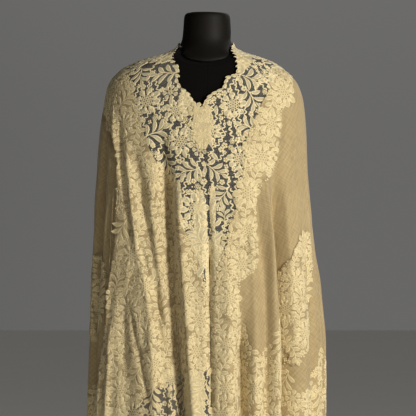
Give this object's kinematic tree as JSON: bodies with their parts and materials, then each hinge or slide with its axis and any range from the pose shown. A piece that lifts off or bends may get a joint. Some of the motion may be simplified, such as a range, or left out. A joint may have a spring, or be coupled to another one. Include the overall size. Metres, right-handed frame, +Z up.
{
  "type": "lace shawl on a limbless dress form with a round stand",
  "caption": "Large fine-cloth shawl with a see-through floral lace neck band and lace fronts, hung on a limbless dress form on a pole stand.",
  "frame": {"origin": "on the floor, under the middle of the stand's base", "axes": "+Z up, -Y towards the front of the shawl, +X towards the wearer's left"},
  "size_m": [0.5086, 0.37, 1.5],
  "materials": {
    "sheer_cloth": "semi-sheer fine plain weave, ivory tan",
    "backed_lace": "ivory corded floral lace laid on the cloth",
    "open_lace": "ivory corded floral lace on open net",
    "black_jersey": "matt black jersey",
    "neck_black": "dark olive-black cover",
    "dark_wood": "dark stained board",
    "black_steel": "satin black paint"
  },
  "bodies": {
    "root": {"back_panel": "sheer_cloth", "side_fall_right": "sheer_cloth", "side_fall_left": "sheer_cloth", "front_right": "backed_lace", "front_left": "sheer_cloth", "neck_lace_back": "open_lace", "neck_lace_right": "open_lace", "neck_lace_left": "open_lace", "centre_rosette": "backed_lace", "edge_lace_left": "backed_lace", "spray_lace_left": "backed_lace", "spray_lace_right": "backed_lace", "hem_lace_front_right": "open_lace", "hem_lace_front_left": "open_lace", "hem_lace_side_right": "open_lace", "hem_lace_side_left": "open_lace", "hem_lace_back": "open_lace", "form_torso": "black_jersey", "form_neck": "neck_black", "form_plate": "dark_wood", "stand_pole": "black_steel", "stand_collar": "black_steel", "stand_base": "black_steel"}
  },
  "joints": []
}
